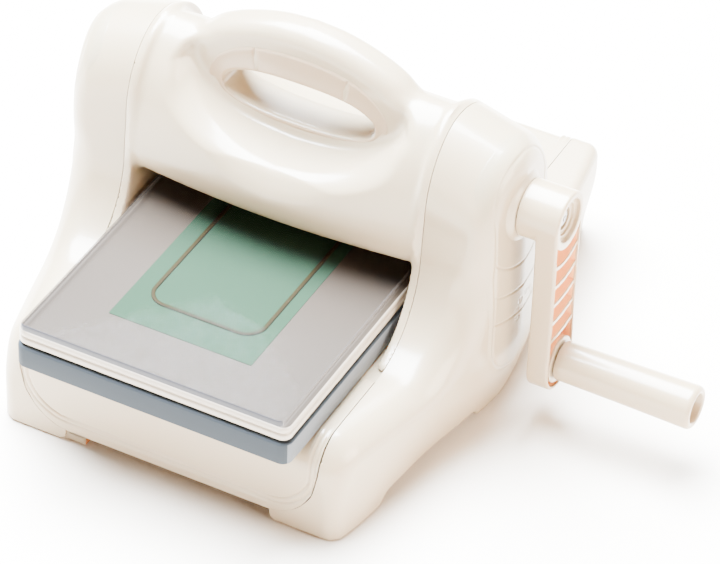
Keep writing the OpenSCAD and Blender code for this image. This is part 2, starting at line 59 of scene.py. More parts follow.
# The covers run from y = -HALF to REAR. A side cover lies beyond x = SEAM, a tower's inner wall at CHEEK
SEAM = 89.0
CHEEK = 84.0
HALF = -cad("right_side_cover")[0][1]
REAR = cad("right_side_cover")[1][1]
TOP = cad("right_side_cover")[1][2]
WALL = 2.6
# How far the covers stay inside their outlines and clear of the seam
TUCK = 0.2
# Radius of the covers' upper corner at the front and at the rear, and how much higher the rear one lies
CORNER, REAR_CORNER, RISE = 20.0, 9.0, 2.5
# Top of the low parts of the side covers, and the top and end of the outline that the bed covers lie in
WING_Z, BED_Z, BED_Y = 60.2, 60.0, 148.0
# Depth of a tower's front half. Its rear half takes the covers' extra length and BULGE more
TOWER, BULGE = 36.5, 0.6
# Crank
CRANK_Z = 134.0
GRIP_Z = (cad("grip")[0][2] + cad("grip")[1][2]) / 2
CRANK_IN, CRANK_OUT = cad("crank_arm")[0][0] + 0.2, cad("crank_arm")[1][0] - 0.2
ARM_BACK = 142.5
# Axes in the bridge: the height of the upper roller's, and the place of the upper tie rods'
ROLLER_Z, ROD_Y, ROD_Z = 110, 25, 122
# The handle's bar stands a little behind the middle
HANDLE_Y = 2.2


# ---- Fields: signed distances in mm, negative inside ----


def step(v, a, b):
    t = np.clip((v - a) / (b - a), 0.0, 1.0)
    return t * t * (3 - 2 * t)


def s_min(a, b, k):
    """Either of two fields, blended over k."""
    h = np.clip(0.5 + 0.5 * (b - a) / k, 0.0, 1.0)
    return b * (1 - h) + a * h - k * h * (1 - h)


def s_max(a, b, k):
    """Both of two fields, blended over k."""
    return -s_min(-a, -b, k)


def round_and(a, b, r):
    """Both of two fields, with the edge between them rounded to r."""
    u = np.maximum(a + r, 0.0)
    v = np.maximum(b + r, 0.0)
    return np.minimum(np.maximum(a, b), -r) + np.hypot(u, v)


def every(*fields):
    """All of the fields, with sharp edges."""
    return functools.reduce(np.maximum, fields)


def band(v, lo, hi):
    """Where v lies between lo and hi."""
    return np.maximum(lo - v, v - hi)


def spline(points, per=12):
    """Smooth curve through the points."""
    p = [np.array(q, float) for q in points]
    p = [2 * p[0] - p[1]] + p + [2 * p[-1] - p[-2]]
    out = []
    for a, b, c, d in zip(p, p[1:], p[2:], p[3:]):
        for i in range(per):
            t = i / per
            square = (2 * a - 5 * b + 4 * c - d) * t * t
            cube = (3 * b - a - 3 * c + d) * t**3
            out.append(0.5 * (2 * b + (c - a) * t + square + cube))
    return out + [p[-2]]


def ellipse(c, rx, ry, a0, a1, n=24):
    steps = [math.radians(a0 + (a1 - a0) * i / n) for i in range(n + 1)]
    return [(c[0] + rx * math.cos(a), c[1] + ry * math.sin(a)) for a in steps]


def mirrored(half):
    """Closes a half outline that ends on the axis with its mirror image."""
    half = [tuple(p) for p in half]
    return half + [(-p[0], p[1]) for p in reversed(half)]


def polygon_distance(x, y, pts):
    """Signed distance from (x, y) to a closed polygon."""
    best = np.full(x.shape, 1e18)
    inside = np.zeros(x.shape, bool)
    for (ax, ay), (bx, by) in zip(pts, pts[1:] + pts[:1]):
        ex, ey = bx - ax, by - ay
        px, py = x - ax, y - ay
        t = np.clip((px * ex + py * ey) / max(ex * ex + ey * ey, 1e-12), 0, 1)
        best = np.minimum(best, (px - t * ex) ** 2 + (py - t * ey) ** 2)
        if ay != by:
            inside ^= ((ay > y) != (by > y)) & (x < ex * (y - ay) / ey + ax)
    return np.where(inside, -1.0, 1.0) * np.sqrt(best)


class Profile:
    """A 2-D outline as a grid of distances with spacing h, lightly blurred, so that a look-up is quick."""

    def __init__(self, pts, lo, hi, h=0.5, blur=2):
        self.lo, self.h = lo, h
        a = np.arange(lo[0], hi[0] + h, h)
        b = np.arange(lo[1], hi[1] + h, h)
        u, v = np.meshgrid(a, b, indexing="ij")
        d = polygon_distance(u, v, [tuple(p) for p in pts])
        for _ in range(blur):
            for ax in (0, 1):
                w = np.concatenate([np.take(d, [0], ax), d, np.take(d, [-1], ax)], ax)
                n = d.shape[ax]
                d = (np.take(w, range(n), ax) + 2 * d + np.take(w, range(2, n + 2), ax)) / 4
        self.d = d

    def __call__(self, x, y):
        u = np.clip((x - self.lo[0]) / self.h, 0, self.d.shape[0] - 1.001)
        v = np.clip((y - self.lo[1]) / self.h, 0, self.d.shape[1] - 1.001)
        i, j = u.astype(int), v.astype(int)
        u, v = u - i, v - j
        low = self.d[i, j] * (1 - u) + self.d[i + 1, j] * u
        high = self.d[i, j + 1] * (1 - u) + self.d[i + 1, j + 1] * u
        return low * (1 - v) + high * v


def toward(field, p, most):
    """Moves points p one step towards the field's zero level, by no more than most."""
    reach = 0.1
    g = np.stack([(field(*(p + e).T) - field(*(p - e).T)) / (2 * reach) for e in np.eye(3) * reach], 1)
    move = g * (field(*p.T) / np.maximum((g * g).sum(1), 0.05))[:, None]
    length = np.linalg.norm(move, axis=1, keepdims=True)
    return p - move * np.minimum(1, most / np.maximum(length, 1e-9))


def surface(field, lo, hi, h, creases=()):
    """Mesh of field's zero level: one vertex in each cell that it passes through, moved onto the surface.

    creases are pairs of fields; the vertices near both of a pair's zero levels are moved onto both.
    """
    ax = [np.arange(lo[i], hi[i] + h, h) for i in range(3)]
    f = field(*np.meshgrid(*ax, indexing="ij"))
    n = f.shape
    total = np.zeros([k - 1 for k in n] + [3])
    count = np.zeros([k - 1 for k in n])
    crossings = []
    for d in range(3):
        a = [slice(None)] * 3
        b = [slice(None)] * 3
        a[d], b[d] = slice(0, n[d] - 1), slice(1, n[d])
        fa, fb = f[tuple(a)], f[tuple(b)]
        hit = (fa < 0) != (fb < 0)
        t = np.where(hit, fa / np.where(hit, fa - fb, 1), 0)
        crossings.append((hit, fa < 0))
        e1, e2 = [k for k in range(3) if k != d]
        for o1 in (0, 1):
            for o2 in (0, 1):
                s = [slice(None)] * 3
                s[e1] = slice(o1, n[e1] - 1 + o1)
                s[e2] = slice(o2, n[e2] - 1 + o2)
                m = hit[tuple(s)]
                count += m
                total[..., d] += np.where(m, t[tuple(s)], 0)
                total[..., e1] += m * o1
                total[..., e2] += m * o2
    cells = np.argwhere(count > 0)
    index = np.full(count.shape, -1)
    index[tuple(cells.T)] = np.arange(len(cells))
    p = np.array(lo) + h * (cells + total[tuple(cells.T)] / count[tuple(cells.T)][:, None])
    for _ in range(4):
        p = toward(field, p, 0.5 * h)
    for pair in creases:
        near = np.ones(len(p), bool)
        for g in pair:
            near &= np.abs(g(*p.T)) < 0.62 * h
        q = p[near]
        for _ in range(6):
            for g in pair:
                q = toward(g, q, 0.5 * h)
        p[near] = q
    quads = []
    for d in range(3):
        hit, first = crossings[d]
        e1, e2 = (d + 1) % 3, (d + 2) % 3
        where = np.argwhere(hit)
        i1, i2 = where[:, e1], where[:, e2]
        where = where[(i1 > 0) & (i2 > 0) & (i1 < n[e1] - 1) & (i2 < n[e2] - 1)]
        corner = []
        for o1, o2 in ((1, 1), (0, 1), (0, 0), (1, 0)):
            c = where.copy()
            c[:, e1] -= o1
            c[:, e2] -= o2
            corner.append(index[tuple(c.T)])
        q = np.stack(corner, 1)
        turn = ~first[tuple(where.T)]
        q[turn] = q[turn][:, ::-1]
        quads.append(q)
    return p, np.concatenate(quads)


# ---- Materials ----


def node_of(tree, kind, **inputs):
    n = tree.nodes.new(kind)
    for key, value in inputs.items():
        n.inputs[key.replace("_", " ")].default_value = value
    return n


def spread(tree, tex, middle, share):
    """Turns a texture into values that run share below and above middle."""
    span = node_of(tree, "ShaderNodeMapRange", To_Min=middle * (1 - share), To_Max=middle * (1 + share))
    tree.links.new(tex.outputs["Fac"], span.inputs["Value"])
    return span.outputs["Result"]


def material(name, colour, rough, noise=0.02, scale=900, bump=0.02, coat=0.0, metal=0.0, sss=0.0, ior=1.5):
    """Plastic or metal with a fine grain, whose colour varies by noise. scale and bump are the grain's."""
    m = bpy.data.materials.new(name)
    m.use_nodes = True
    t = m.node_tree
    b = t.nodes["Principled BSDF"]
    b.inputs["Base Color"].default_value = (*colour, 1)
    b.inputs["Roughness"].default_value = rough
    b.inputs["Metallic"].default_value = metal
    b.inputs["IOR"].default_value = ior
    b.inputs["Coat Weight"].default_value = coat
    b.inputs["Coat Roughness"].default_value = 0.12
    b.inputs["Subsurface Weight"].default_value = sss
    b.inputs["Subsurface Radius"].default_value = (0.006, 0.003, 0.002)
    b.inputs["Subsurface Scale"].default_value = 1.0
    place = t.nodes.new("ShaderNodeTexCoord")
    tex = node_of(t, "ShaderNodeTexNoise", Scale=scale, Detail=4.0, Roughness=0.6)
    t.links.new(place.outputs["Object"], tex.inputs["Vector"])
    t.links.new(spread(t, tex, rough, 0.15), b.inputs["Roughness"])
    ramp = t.nodes.new("ShaderNodeMix")
    ramp.data_type = "RGBA"
    factor, darker, lighter = ramp.inputs[0], ramp.inputs[6], ramp.inputs[7]
    darker.default_value = (*[c * (1 - noise) for c in colour], 1)
    lighter.default_value = (*[min(1, c * (1 + noise)) for c in colour], 1)
    t.links.new(tex.outputs["Fac"], factor)
    t.links.new(ramp.outputs[2], b.inputs["Base Color"])
    grain = node_of(t, "ShaderNodeBump", Strength=bump, Distance=0.0002)
    t.links.new(tex.outputs["Fac"], grain.inputs["Height"])
    t.links.new(grain.outputs["Normal"], b.inputs["Normal"])
    return m


MOULDED = {"noise": 0.01, "bump": 0.03, "sss": 0.15}
MATT = {"noise": 0.04, "scale": 1600, "bump": 0.12}

CREAM = material("cream_shell", (0.44, 0.335, 0.215), 0.33, coat=0.35, **MOULDED)
IVORY = material("ivory_crank", (0.45, 0.33, 0.20), 0.30, coat=0.3, **MOULDED)
# Peach for the faces deep in the crank's pocket: painted glow and shade between the ribs, not the ivory
# plastic's colour
PAINTED_POCKET_GLOW = material("peach_painted_pocket_glow", (0.86, 0.46, 0.20), 0.45, bump=0.03, sss=0.15)
BLUE = material("blue_grey_platform", (0.036, 0.043, 0.051), 0.6, ior=1.2, **MATT)
# Lighter copy of the platform's blue-grey for its right-facing side: painted light
PAINTED_LIT_BLUE_SIDE = material("blue_grey_painted_lit_side", (0.115, 0.125, 0.14), 0.45, ior=1.3, **MATT)
# Near-black violet for the clear plate's front edge: painted shade of how that edge looks, not a tint of the
# plate
PAINTED_SHADE_FRONT_EDGE = material("plate_front_edge_painted_shade", (0.030, 0.028, 0.036), 0.4, noise=0.04, bump=0.03)
# Dark copy of the lower plate's cream for its flat faces: painted shade of the greyish look under the clear
# plate
PAINTED_SHADE_SHEET = material("cream_sheet_painted_shade", (0.064, 0.046, 0.032), 0.45, scale=700, bump=0.03, ior=1.2)
EDGEW = material("bright_edge", (0.46, 0.38, 0.30), 0.25, noise=0.01, scale=700, coat=0.4)
CARD = material("mint_card", (0.021, 0.052, 0.027), 0.9, noise=0.12, scale=2200, bump=0.3, ior=1.1)
# Orange for the faces inside the left foot's sole: painted glow and shade of the dim cavity, not the
# plastic's colour
PAINTED_HOLLOW_GLOW = material("foot_painted_hollow_glow", (0.62, 0.20, 0.05), 0.5, noise=0.03, bump=0.05)
GOLD = material("gold_die", (0.022, 0.015, 0.003), 0.6, noise=0.08, scale=1500, bump=0.1, ior=1.15)
STEEL = material("bright_steel", (0.62, 0.63, 0.65), 0.28, noise=0.05, scale=1200, bump=0.1, metal=1.0)
DARK = material("dark_steel", (0.16, 0.17, 0.18), 0.4, noise=0.08, bump=0.1, metal=0.7)
BRONZE = material("bush_bronze", (0.50, 0.33, 0.16), 0.4, noise=0.06, scale=1200, bump=0.1, metal=0.9)
NYLON = material("gear_nylon", (0.78, 0.77, 0.70), 0.45, bump=0.05)
RUBBER = material("black_rubber", (0.02, 0.02, 0.02), 0.7, noise=0.2, scale=1500, bump=0.3)
# Darker, pinker copy of the shell colour for the handle's lining: painted shade of its front-facing strip
PAINTED_SHADE_LINING = material("hole_lining_painted_shade", (0.42, 0.29, 0.18), 0.36, coat=0.3, **MOULDED)
FLOOR = material("floor", (0.82, 0.72, 0.61), 0.6, noise=0.004, scale=40, bump=0.0)


def clear_sheet(name, tint, gloss, rough):
    """Thin clear plastic: mostly see-through, with a faint shine that varies a little."""
    m = bpy.data.materials.new(name)
    m.use_nodes = True
    t = m.node_tree
    t.nodes.clear()
    out = t.nodes.new("ShaderNodeOutputMaterial")
    mix = t.nodes.new("ShaderNodeMixShader")
    through = t.nodes.new("ShaderNodeBsdfTransparent")
    shine = t.nodes.new("ShaderNodeBsdfPrincipled")
    place = t.nodes.new("ShaderNodeTexCoord")
    tex = node_of(t, "ShaderNodeTexNoise", Scale=18.0, Detail=3.0)
    through.inputs["Color"].default_value = (*tint, 1)
    shine.inputs["Base Color"].default_value = (0.12, 0.11, 0.11, 1)
    shine.inputs["Roughness"].default_value = rough
    t.links.new(place.outputs["Object"], tex.inputs["Vector"])
    t.links.new(spread(t, tex, gloss, 0.25), mix.inputs["Fac"])
    t.links.new(through.outputs["BSDF"], mix.inputs[1])
    t.links.new(shine.outputs["BSDF"], mix.inputs[2])
    t.links.new(mix.outputs["Shader"], out.inputs["Surface"])
    return m


CLEAR = clear_sheet("clear_sheet", (0.95, 0.945, 0.94), 0.03, 0.08)
# The clear plate's sides: greyer and less see-through, painted shade of its edges
PAINTED_SHADE_CLEAR_EDGE = clear_sheet("clear_edge_painted_shade", (0.80, 0.78, 0.78), 0.55, 0.10)

SLOTS = {
    "shell": CREAM, "crank_plastic": IVORY, "platform_plastic": BLUE, "plate_plastic": PAINTED_SHADE_SHEET,
    "clear_plastic": EDGEW, "card": CARD, "die_metal": GOLD, "frame_steel": DARK,
    "bright_steel": STEEL, "bush_bronze": BRONZE, "gear_plastic": NYLON, "rubber": RUBBER,
}
slot_of = {s["node"]: s["material_slot"] for s in frame["record"]["subparts"]}
body_of_node = {n: b for b, nodes in frame["record"]["behaviour"]["bodies"].items() for n in nodes}
for name, obj in frame["nodes"].items():
    obj.data.materials.clear()
    obj.data.materials.append(SLOTS[slot_of[name]])


# ---- Making pieces ----


def make(node, verts, faces, mat, smooth=40.0, also=()):
    """A mesh piece, given in mm, that stands for a CAD node and any others named.

    Edges sharper than smooth degrees stay sharp.
    """
    mesh = bpy.data.meshes.new(node)
    points = [tuple(v) for v in np.asarray(verts) * MM]
    mesh.from_pydata(points, [], [tuple(int(i) for i in q) for q in faces])
    mesh.validate()
    obj = bpy.data.objects.new(node, mesh)
    bpy.context.scene.collection.objects.link(obj)
    mesh.shade_smooth()
    mesh.set_sharp_from_angle(angle=math.radians(smooth))
    mesh.materials.append(mat)
    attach(obj, body_of_node[node])
    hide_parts(node, *also)
    return obj


def two_colours(obj, mat, chosen):
    """Gives the chosen faces of a piece a second material."""
    obj.data.materials.append(mat)
    for p, pick in zip(obj.data.polygons, chosen):
        p.material_index = int(pick)


def grid_faces(rows, cols):
    i, j = np.meshgrid(np.arange(rows - 1), np.arange(cols - 1), indexing="ij")
    a = (i * cols + j).ravel()
    return np.stack([a, a + 1, a + 1 + cols, a + cols], 1)


def solid_sheet(outer, inner, rows, cols):
    """Closed sheet between two grids of points with the same layout."""
    n = rows * cols
    f = grid_faces(rows, cols)
    rim = list(range(cols)) + [r * cols + cols - 1 for r in range(1, rows)]
    rim += [(rows - 1) * cols + c for c in range(cols - 2, -1, -1)]
    rim += [r * cols for r in range(rows - 2, 0, -1)]
    sides = [(b, a, a + n, b + n) for a, b in zip(rim, rim[1:] + rim[:1])]
    return np.concatenate([outer, inner]), np.concatenate([f, f[:, ::-1] + n, np.array(sides)])


def loop_faces(rings, count, closed=False):
    """Faces between rings of count points each, and from the last ring to the first where they close."""
    faces = []
    for k in range(rings if closed else rings - 1):
        m = (k + 1) % rings
        for i in range(count):
            j = (i + 1) % count
            faces.append((k * count + i, k * count + j, m * count + j, m * count + i))
    return faces


# ---- Side covers ----


def side_half(corner):
    """Half of a side cover's outline: a low part with a rounded corner, a hollow sweep and the tower."""
    return (
        [(-HALF, -12)]
        + ellipse((corner - HALF, WING_Z - corner), corner, corner, 180, 90)
        + ellipse((-84, 112), 45.5, 51.8, -90, 0)
        + ellipse((0, 132), 36.4, TOP - 132, 180, 90)
    )


rear_half = [(-p[0], p[1]) for p in reversed(side_half(REAR_CORNER))]
SIDE = Profile(side_half(CORNER) + rear_half, (-152, -14), (152, 186))

# Edge of the foot that wraps in under the apron, seen from the front
toe_curve = spline([(61.4, 8.2), (67, 9.2), (74.5, 13.2), (80.6, 19), (86, 28), (SEAM + TUCK, 42)])
toe_rest = [(100, 42), (100, -6), (66, -6), (64.8, 1.2), (62.2, 3.0)]
TOE = Profile([(61.4, 6.0)] + toe_curve + toe_rest, (50, -8), (104, 50), 0.4, 1)

# The rear half is longer than the front half: its tower ends at TOWER_REAR
TOWER_REAR = TOWER + REAR - HALF + BULGE


def fold(y):
    """The place on the symmetric outline that matches y."""
    beyond = TOWER + (y - TOWER_REAR) * (HALF - TOWER) / (REAR - TOWER_REAR)
    return np.where(y <= 0, y, np.where(y < TOWER_REAR, y * TOWER / TOWER_REAR, beyond))


def unfold(y):
    """The other way round: the y of a place on the symmetric outline."""
    beyond = TOWER_REAR + (y - TOWER) * (REAR - TOWER_REAR) / (HALF - TOWER)
    return np.where(y <= 0, y, np.where(y < TOWER, y * TOWER_REAR / TOWER, beyond))


def top_drop(x, z):
    """How far the top of a tower has sloped down at x."""
    v = np.maximum(np.abs(x) - 82, 0)
    return 0.30 * v * v / (v + 4) * step(z, 105, 150)


def side_solid(x, y, z):
    """Outer form of a side cover: its outline seen from the side, closed by a bulging outer wall."""
    back = step(y, 30, 90)
    y = fold(y)
    a = np.abs(y)
    flare = 10 * step(140 - a, 0, 85) * (1 - step(z, -6, 50))
    wall_x = 130.8 - 31 * (a / 148) ** 1.3 - flare - 2.0 * step(z, 80, 150)
    wall_x += back * (3.5 * step(a, 90, 148) - 6 * (1 - step(z, 0, 48)))
    blend = 7.0 + (11 - 12 * back) * step(z, 26, 58) - (7.5 - 7 * back) * step(z, 95, 125)
    body = round_and(SIDE(y, z - RISE * back + top_drop(x, z)) + TUCK, (x - wall_x) * 0.97, blend)
    low = 0.5 + 5.6 * step(a, 20, 26) * (1 - step(a, 104, 111))
    return s_max(body, low - z, 1.6)


def side_shell(boss):
    """Hollow side cover, with or without a boss for the crank shaft, and which faces are inside its sole,
    for the orange painted glow and shade.
    """

    def outer(x, y, z):
        f = side_solid(x, y, z)
        if boss:
            collar = round_and(np.hypot(y, z - CRANK_Z) - 15.8, x - 130.2, 0.8)
            f = s_min(f, collar, 7)
        return f

    def region(x, y, z):
        a = np.abs(fold(y))
        kept = np.minimum(SEAM + TUCK - x, np.maximum(TOE(x, z), 111.5 - a))
        if not boss:
            sole = every(band(x, 50.5, 66), band(a, 112, 145.6), z - 7.5)
            kept = np.minimum(kept, sole)
        return kept

    def field(x, y, z):
        f = outer(x, y, z)
        f = np.maximum(f, -(f + WALL))
        if boss:
            f = np.maximum(f, 6.4 - np.hypot(y, z - CRANK_Z))
        return np.maximum(f, region(x, y, z))

    creases = [(outer, region), (lambda x, y, z: outer(x, y, z) + WALL, region)]
    v, f = surface(field, (48.3, -150.3, -1.1), (133, REAR + 2.3, 182), 1.25, creases)
    middle = v[f].mean(1)
    # Faces inside the left foot's sole, which get the orange painted glow and shade
    inside = (middle[:, 0] < 64) & (middle[:, 2] < 8) & (outer(*middle.T) < -0.7)
    return v, f, inside & (np.abs(fold(middle[:, 1])) < 145.2) & (not boss)


# The left cover's sole faces get the orange painted glow and shade
verts, quads, hollow = side_shell(True)
cover = make("right_side_cover", verts, quads, CREAM, 32, ("crank_collar",))
two_colours(cover, PAINTED_HOLLOW_GLOW, hollow)
verts, quads, hollow = side_shell(False)
cover = make("left_side_cover", verts * (-1, 1, 1), quads[:, ::-1], CREAM, 32)
two_colours(cover, PAINTED_HOLLOW_GLOW, hollow)


# ---- Centre: bridge, dished recess, carrying handle and the towers' inner walls ----

belly_half = spline([
    (-19, 95.2), (-28.5, 95.8), (-37.5, 99), (-43.5, 105.5), (-46.2, 114), (-45.6, 122.5), (-42.3, 135),
    (-37.0, 148.5), (-29, 161), (-17.5, 172), (-7, 177.6), (0, TOP - 0.2),
])
BELLY = Profile(mirrored(belly_half), (-60, 84), (60, 190))
rim_half = spline([
    (0, 133), (-22, 135.5), (-42, 142.5), (-57, 154), (-63.5, 167), (-63.5, 180), (-59, 192), (-50, 205),
])
RIM = Profile(mirrored(rim_half[::-1]), (-92, 112), (92, 212))
handle_half = spline([
    (0, 131), (-28, 134), (-50, 140), (-61, 150), (-64.5, 162), (-63.5, 173), (-59.5, 181.5), (-50, 188.5),
    (-35, 194.8), (-18, 199.2), (0, 200.8),
])
HANDLE = Profile(mirrored(handle_half), (-75, 120), (75, 210))
hole_half = spline([
    (0, 142.8), (-17, 143.4), (-33, 146), (-43, 150.2), (-45.6, 155), (-43, 160.2), (-33.5, 165.4),
    (-18, 168.6), (0, 169.6),
])
HOLE = Profile(mirrored(hole_half), (-75, 120), (75, 210))


def dish(x, y, z):
    """Recess on either side of the handle: its rim widens towards the front and the back."""
    back = HANDLE_Y - np.abs(y - HANDLE_Y)
    rim_y = np.clip(-38 + (z - 133) * 0.875, -38, -9)
    ahead = rim_y - back
    wide = 1.33 - 0.86 * step(z, 133, 163)
    grow = wide * s_max(ahead, 0 * ahead, 3) - 0.13 * s_max(-ahead, 0 * ahead, 3)
    return round_and(RIM(x, z) - grow, back + 7.6, 7)


def centre_solid(x, y, z):
    a = np.abs(x)
    bridge = np.maximum(BELLY(y * (1 + 0.17 * (x / CHEEK) ** 2), z), a - CHEEK - 1.0)
    cheek = round_and(SIDE(fold(y), z + top_drop(x, z)) + TUCK, CHEEK - a, 1.6)
    cheek = s_max(cheek, 57.9 - z, 0.6)
    f = s_min(bridge, cheek, 5)
    f = s_max(f, -dish(x, y, z), 4)
    bar = round_and(HANDLE(x, z) + 0.2, np.abs(y - HANDLE_Y) - 11.7, 9.5)
    f = s_min(f, bar, 5)
    return s_max(f, -HOLE(x, z), 3)


def centre_end(x, y, z):
    return np.abs(x) - (SEAM - TUCK)


def centre_field(x, y, z):
    """The centre with its inner room, the slot for the upper roller and the bores in the inner walls."""
    f = centre_solid(x, y, z)
    a = np.abs(x)
    room = every(f + WALL, z - 132.6, a - CHEEK + WALL)
    slot = every(np.abs(y) - 24.6, a - 82.4, band(z, 88, 104))
    f = np.maximum(f, -np.minimum(room, slot))
    roller_bore = np.hypot(y, z - ROLLER_Z) - 7
    rod_bore = np.hypot(np.abs(y) - ROD_Y, z - ROD_Z) - 4.6
    f = np.maximum(f, -np.maximum(78 - a, roller_bore))
    f = np.maximum(f, -np.maximum(78 - a, rod_bore))
    return np.maximum(f, centre_end(x, y, z))


lo, hi = (-90.3, -113, 56.3), (90.3, 113 + REAR - HALF, 203)
verts, quads = surface(centre_field, lo, hi, 1.3, [(centre_solid, centre_end)])
others = ("carry_handle", "left_cheek", "right_cheek", "bridge_rear_cover")
make("bridge_front_cover", verts, quads, CREAM, 32, others)


# ---- Bed covers, with the grooved outline on the apron ----


def box_distance(x, z, cx, cz, hx, hz, r):
    u, v = np.abs(x - cx) - hx + r, np.abs(z - cz) - hz + r
    return np.hypot(np.maximum(u, 0), np.maximum(v, 0)) + np.minimum(np.maximum(u, v), 0) - r


def groove_at(d, depth, width):
    return depth * np.exp(-((d / width) ** 2))


def bed(rear):
    """Bed cover with its apron: a path seen from the side, swept to the width that the feet leave free."""
    corner = REAR_CORNER if rear else CORNER
    skin, low = 0.3, 7.9
    arc = ellipse((corner - BED_Y, BED_Z - corner), corner - skin, corner - skin, 180, 90, 40)
    path = [(skin - BED_Y, t) for t in np.linspace(low, BED_Z - 2 * skin - corner, 49)]
    path += arc
    path += [(y, BED_Z - skin) for y in np.linspace(corner + 0.7 - BED_Y, -26.5, 64)]
    path = np.array(path)
    way = np.gradient(path, axis=0)
    way /= np.linalg.norm(way, axis=1, keepdims=True)
    normal = np.stack([-way[:, 1], way[:, 0]], 1)
    along = np.concatenate([[0], np.cumsum(np.linalg.norm(np.diff(path, axis=0), axis=1))])
    foot_z = [low, 9.0, 12.6, 18.6, 27.8, 42.0]
    foot_x = [61.5, 67.0, 74.5, 80.6, 86.0, SEAM]
    edge_x = np.interp(path[:, 1], foot_z, foot_x) - 0.45
    cols = 255
    x = edge_x[:, None] * np.linspace(-1, 1, cols)
    z = low + along[:, None] + 0 * x
    d = box_distance(x, z, 0, 60, 84.2, 43.2, 25)
    groove = groove_at(d, 0.8, 0.6) + groove_at(d - 3.2, 0.7, 0.6)
    groove *= 1 - step(z, 60, 72)
    y = path[:, :1] + 0 * x
    rim = step(np.abs(x), 81.6, 82.6) * (1 - step(y, -86, -84.5))
    sink = 1.7 * (1 - rim) * step(path[:, 1:] + 0 * x, 50, 59)

    def side(off, narrow):
        out_y, out_z = y + off * normal[:, :1], path[:, 1:] + off * normal[:, 1:]
        return np.stack([x * narrow, out_y, out_z], -1).reshape(-1, 3)

    off = -(groove + sink)
    v, f = solid_sheet(side(off, 1), side(off - 2.2, 0.995), len(path), cols)
    if rear:
        y = unfold(-v[:, 1])
        z = v[:, 2] + RISE * step(y, 30, 90) * step(v[:, 2], 0, 20)
        v, f = np.stack([v[:, 0], y, z], 1), f[:, ::-1]
    return v, f[:, ::-1]


for node, rear in (("front_bed_cover", False), ("rear_bed_cover", True)):
    verts, quads = bed(rear)
    make(node, verts, quads, CREAM, 35)


# ---- Plates, card and die ----


def outline(w, length, r, n=14):
    """Rounded rectangle about the middle."""
    pts = []
    for cx, cy, a0 in ((1, 1, 0), (-1, 1, 90), (-1, -1, 180), (1, -1, 270)):
        c = (cx * (w / 2 - r), cy * (length / 2 - r))
        pts += ellipse(c, r, r, a0, a0 + 90, n)
    return pts


def ring_points(w, length, r, rings, middle):
    """Rounded rectangles one above the other, one for each (inset, height) in rings."""
    verts = []
    for inset, z in rings:
        for px, py in outline(w - 2 * inset, length - 2 * inset, max(r - inset, 0.05)):
            verts.append((px + middle[0], py + middle[1], z))
    return verts, len(outline(w, length, r))


def slab(node, w, length, r, rings, middle, mats, pick):
    """Closed slab whose rim follows rings. pick gives the index of a face's material from its normal."""
    verts, count = ring_points(w, length, r, rings, middle)
    faces = loop_faces(len(rings), count)
    faces.append(tuple(range(count))[::-1])
    faces.append(tuple(range((len(rings) - 1) * count, len(rings) * count)))
    obj = make(node, verts, faces, mats[0], 50)
    for m in mats[1:]:
        obj.data.materials.append(m)
    for p in obj.data.polygons:
        p.material_index = pick(p.normal)


def frame_slab(node, w, length, r, line, z0, z1, middle, mat):
    """Closed rounded-rectangle frame of the given line width, with softened edges."""
    soft = 0.25
    top = [(0, z1 - soft), (soft, z1), (line - soft, z1), (line, z1 - soft)]
    rings = [(0, z0)] + top + [(line, z0)]
    verts, count = ring_points(w, length, r, rings, middle)
    make(node, verts, loop_faces(len(rings), count, closed=True), mat, 50)


def rounded(z0, z1, r, n=4):
    """Rim of a slab with its edges rounded to r."""
    turn = np.linspace(0, math.pi / 2, n)
    base = [(r * (1 - math.sin(a)), z0 + r * (1 - math.cos(a))) for a in turn]
    return base + [(r * (1 - math.cos(a)), z1 - r * (1 - math.sin(a))) for a in turn]


def extent(node):
    """Middle, width, length, bottom and top of a flat node."""
    lo, hi = cad(node)
    return ((lo[0] + hi[0]) / 2, (lo[1] + hi[1]) / 2), hi[0] - lo[0], hi[1] - lo[1], lo[2], hi[2]


def flat(normal):
    return abs(normal.z) > 0.95


PLAY = 0.4  # how much shorter the looks are than the CAD solids

middle, w, length, z0, z1 = extent("base_platform")
# Faces turned to +x get the lighter painted-light copy of the blue-grey
slab("base_platform", w - 0.3, length - PLAY, 6.0, rounded(z0, z1 - 0.6, 1.4), middle, [BLUE, PAINTED_LIT_BLUE_SIDE],
     lambda n: 1 if n.x > 0.75 else 0)

# The lower plate stands on a narrower foot, and a line at SPLIT parts its rim in two
FOOT, SPLIT = 0.6, 5.5
middle, w, length, z0, z1 = extent("lower_plate")
rings = [(3.0, z0), (3.0, z0 + FOOT)] + rounded(z0 + FOOT, z0 + SPLIT - 0.1, 1.5)[:-1]
rings += [(0.8, z0 + SPLIT)] + rounded(z0 + SPLIT + 0.1, z1, 1.3)[1:]
# Flat faces get the dark painted-shade copy, the rim keeps the plate's light cream
slab("lower_plate", w + 1.2, length - PLAY, 5.5, rings, middle, [PAINTED_SHADE_SHEET, EDGEW],
     lambda n: 0 if flat(n) else 1)

middle, w, length, z0, z1 = extent("upper_plate")
# Top and bottom stay clear; the front edge gets the violet painted shade, the other sides the greyer
# painted-shade copy
slab("upper_plate", w - 0.2, length - PLAY, 3.5, rounded(z0, z1, 0.8), middle, [CLEAR, PAINTED_SHADE_CLEAR_EDGE, PAINTED_SHADE_FRONT_EDGE],
     lambda n: 0 if flat(n) else 2 if n.y < -0.5 else 1)

middle, w, length, z0, z1 = extent("cardstock")
slab("cardstock", w - PLAY, length - PLAY, 0.4, [(0, z0), (0, z1)], middle, [CARD], lambda n: 0)

middle, w, length, z0, z1 = extent("cutting_die")
frame_slab("cutting_die", w - PLAY, length - PLAY, 11.8, 2.1, z0, z1, middle, GOLD)


# ---- Crank ----

HUB_R = 15.9
POCKET_DEEP = 10.2
RIBS, RIB_FIRST, RIB_APART = 5, 27.5, 12.0


